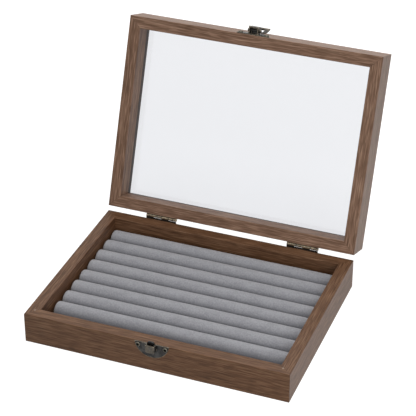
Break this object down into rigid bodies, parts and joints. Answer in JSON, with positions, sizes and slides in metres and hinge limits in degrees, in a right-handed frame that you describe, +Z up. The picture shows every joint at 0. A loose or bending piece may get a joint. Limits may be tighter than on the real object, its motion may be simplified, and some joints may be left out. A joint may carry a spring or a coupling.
{
  "type": "ring display box",
  "caption": "Shallow wood-look display box with a hinged glass lid, a tray of padded velvet ring rolls, rear butt hinges and a front hasp latch.",
  "frame": {"origin": "middle of the tray's flat underside", "axes": "+X to the right along the width, +Y to the rear towards the hinges, +Z up"},
  "size_m": [0.2, 0.2312, 0.1745],
  "materials": {
    "walnut_board": "matt wood-grain laminate",
    "panel_board": "matt board",
    "grey_cloth": "cloth covered board",
    "grey_velvet": "short pile velvet",
    "foam": "open cell foam",
    "pane": "clear polished",
    "antique_bronze": "antiqued, worn highlights"
  },
  "bodies": {
    "tray": {"base_front_rail": "walnut_board", "base_rear_rail": "walnut_board", "base_left_rail": "walnut_board", "base_right_rail": "walnut_board", "base_bottom_panel": "panel_board", "roll_board": "grey_cloth", "roll_cover_1": "grey_velvet", "roll_core_1": "foam", "roll_cover_2": "grey_velvet", "roll_core_2": "foam", "roll_cover_3": "grey_velvet", "roll_core_3": "foam", "roll_cover_4": "grey_velvet", "roll_core_4": "foam", "roll_cover_5": "grey_velvet", "roll_core_5": "foam", "roll_cover_6": "grey_velvet", "roll_core_6": "foam", "roll_cover_7": "grey_velvet", "roll_core_7": "foam", "roll_cover_8": "grey_velvet", "roll_core_8": "foam", "roll_cover_9": "grey_velvet", "roll_core_9": "foam", "hinge_left_base_leaf": "antique_bronze", "hinge_left_pin": "antique_bronze", "hinge_left_base_screws": "antique_bronze", "hinge_right_base_leaf": "antique_bronze", "hinge_right_pin": "antique_bronze", "hinge_right_base_screws": "antique_bronze", "keeper_plate": "antique_bronze", "keeper_screws": "antique_bronze"},
    "lid": {"lid_front_rail": "walnut_board", "lid_rear_rail": "walnut_board", "lid_left_rail": "walnut_board", "lid_right_rail": "walnut_board", "lid_glass": "pane", "hinge_left_lid_leaf": "antique_bronze", "hinge_left_lid_screws": "antique_bronze", "hinge_right_lid_leaf": "antique_bronze", "hinge_right_lid_screws": "antique_bronze", "hasp_plate": "antique_bronze", "hasp_plate_screws": "antique_bronze", "hasp_pin": "antique_bronze"},
    "hasp": {"hasp": "antique_bronze"}
  },
  "joints": [
    {"name": "lid_hinge", "type": "hinge", "parent": "tray", "child": "lid", "pos_m": [0, 0.07645, 0.0262], "axis": [1, 0, 0], "range_deg": [0, 110.5]},
    {"name": "hasp_pivot", "type": "hinge", "parent": "lid", "child": "hasp", "pos_m": [-0.0011, 0.13233, 0.17052], "axis": [1, 0, 0], "range_deg": [0, 172.7]}
  ]
}
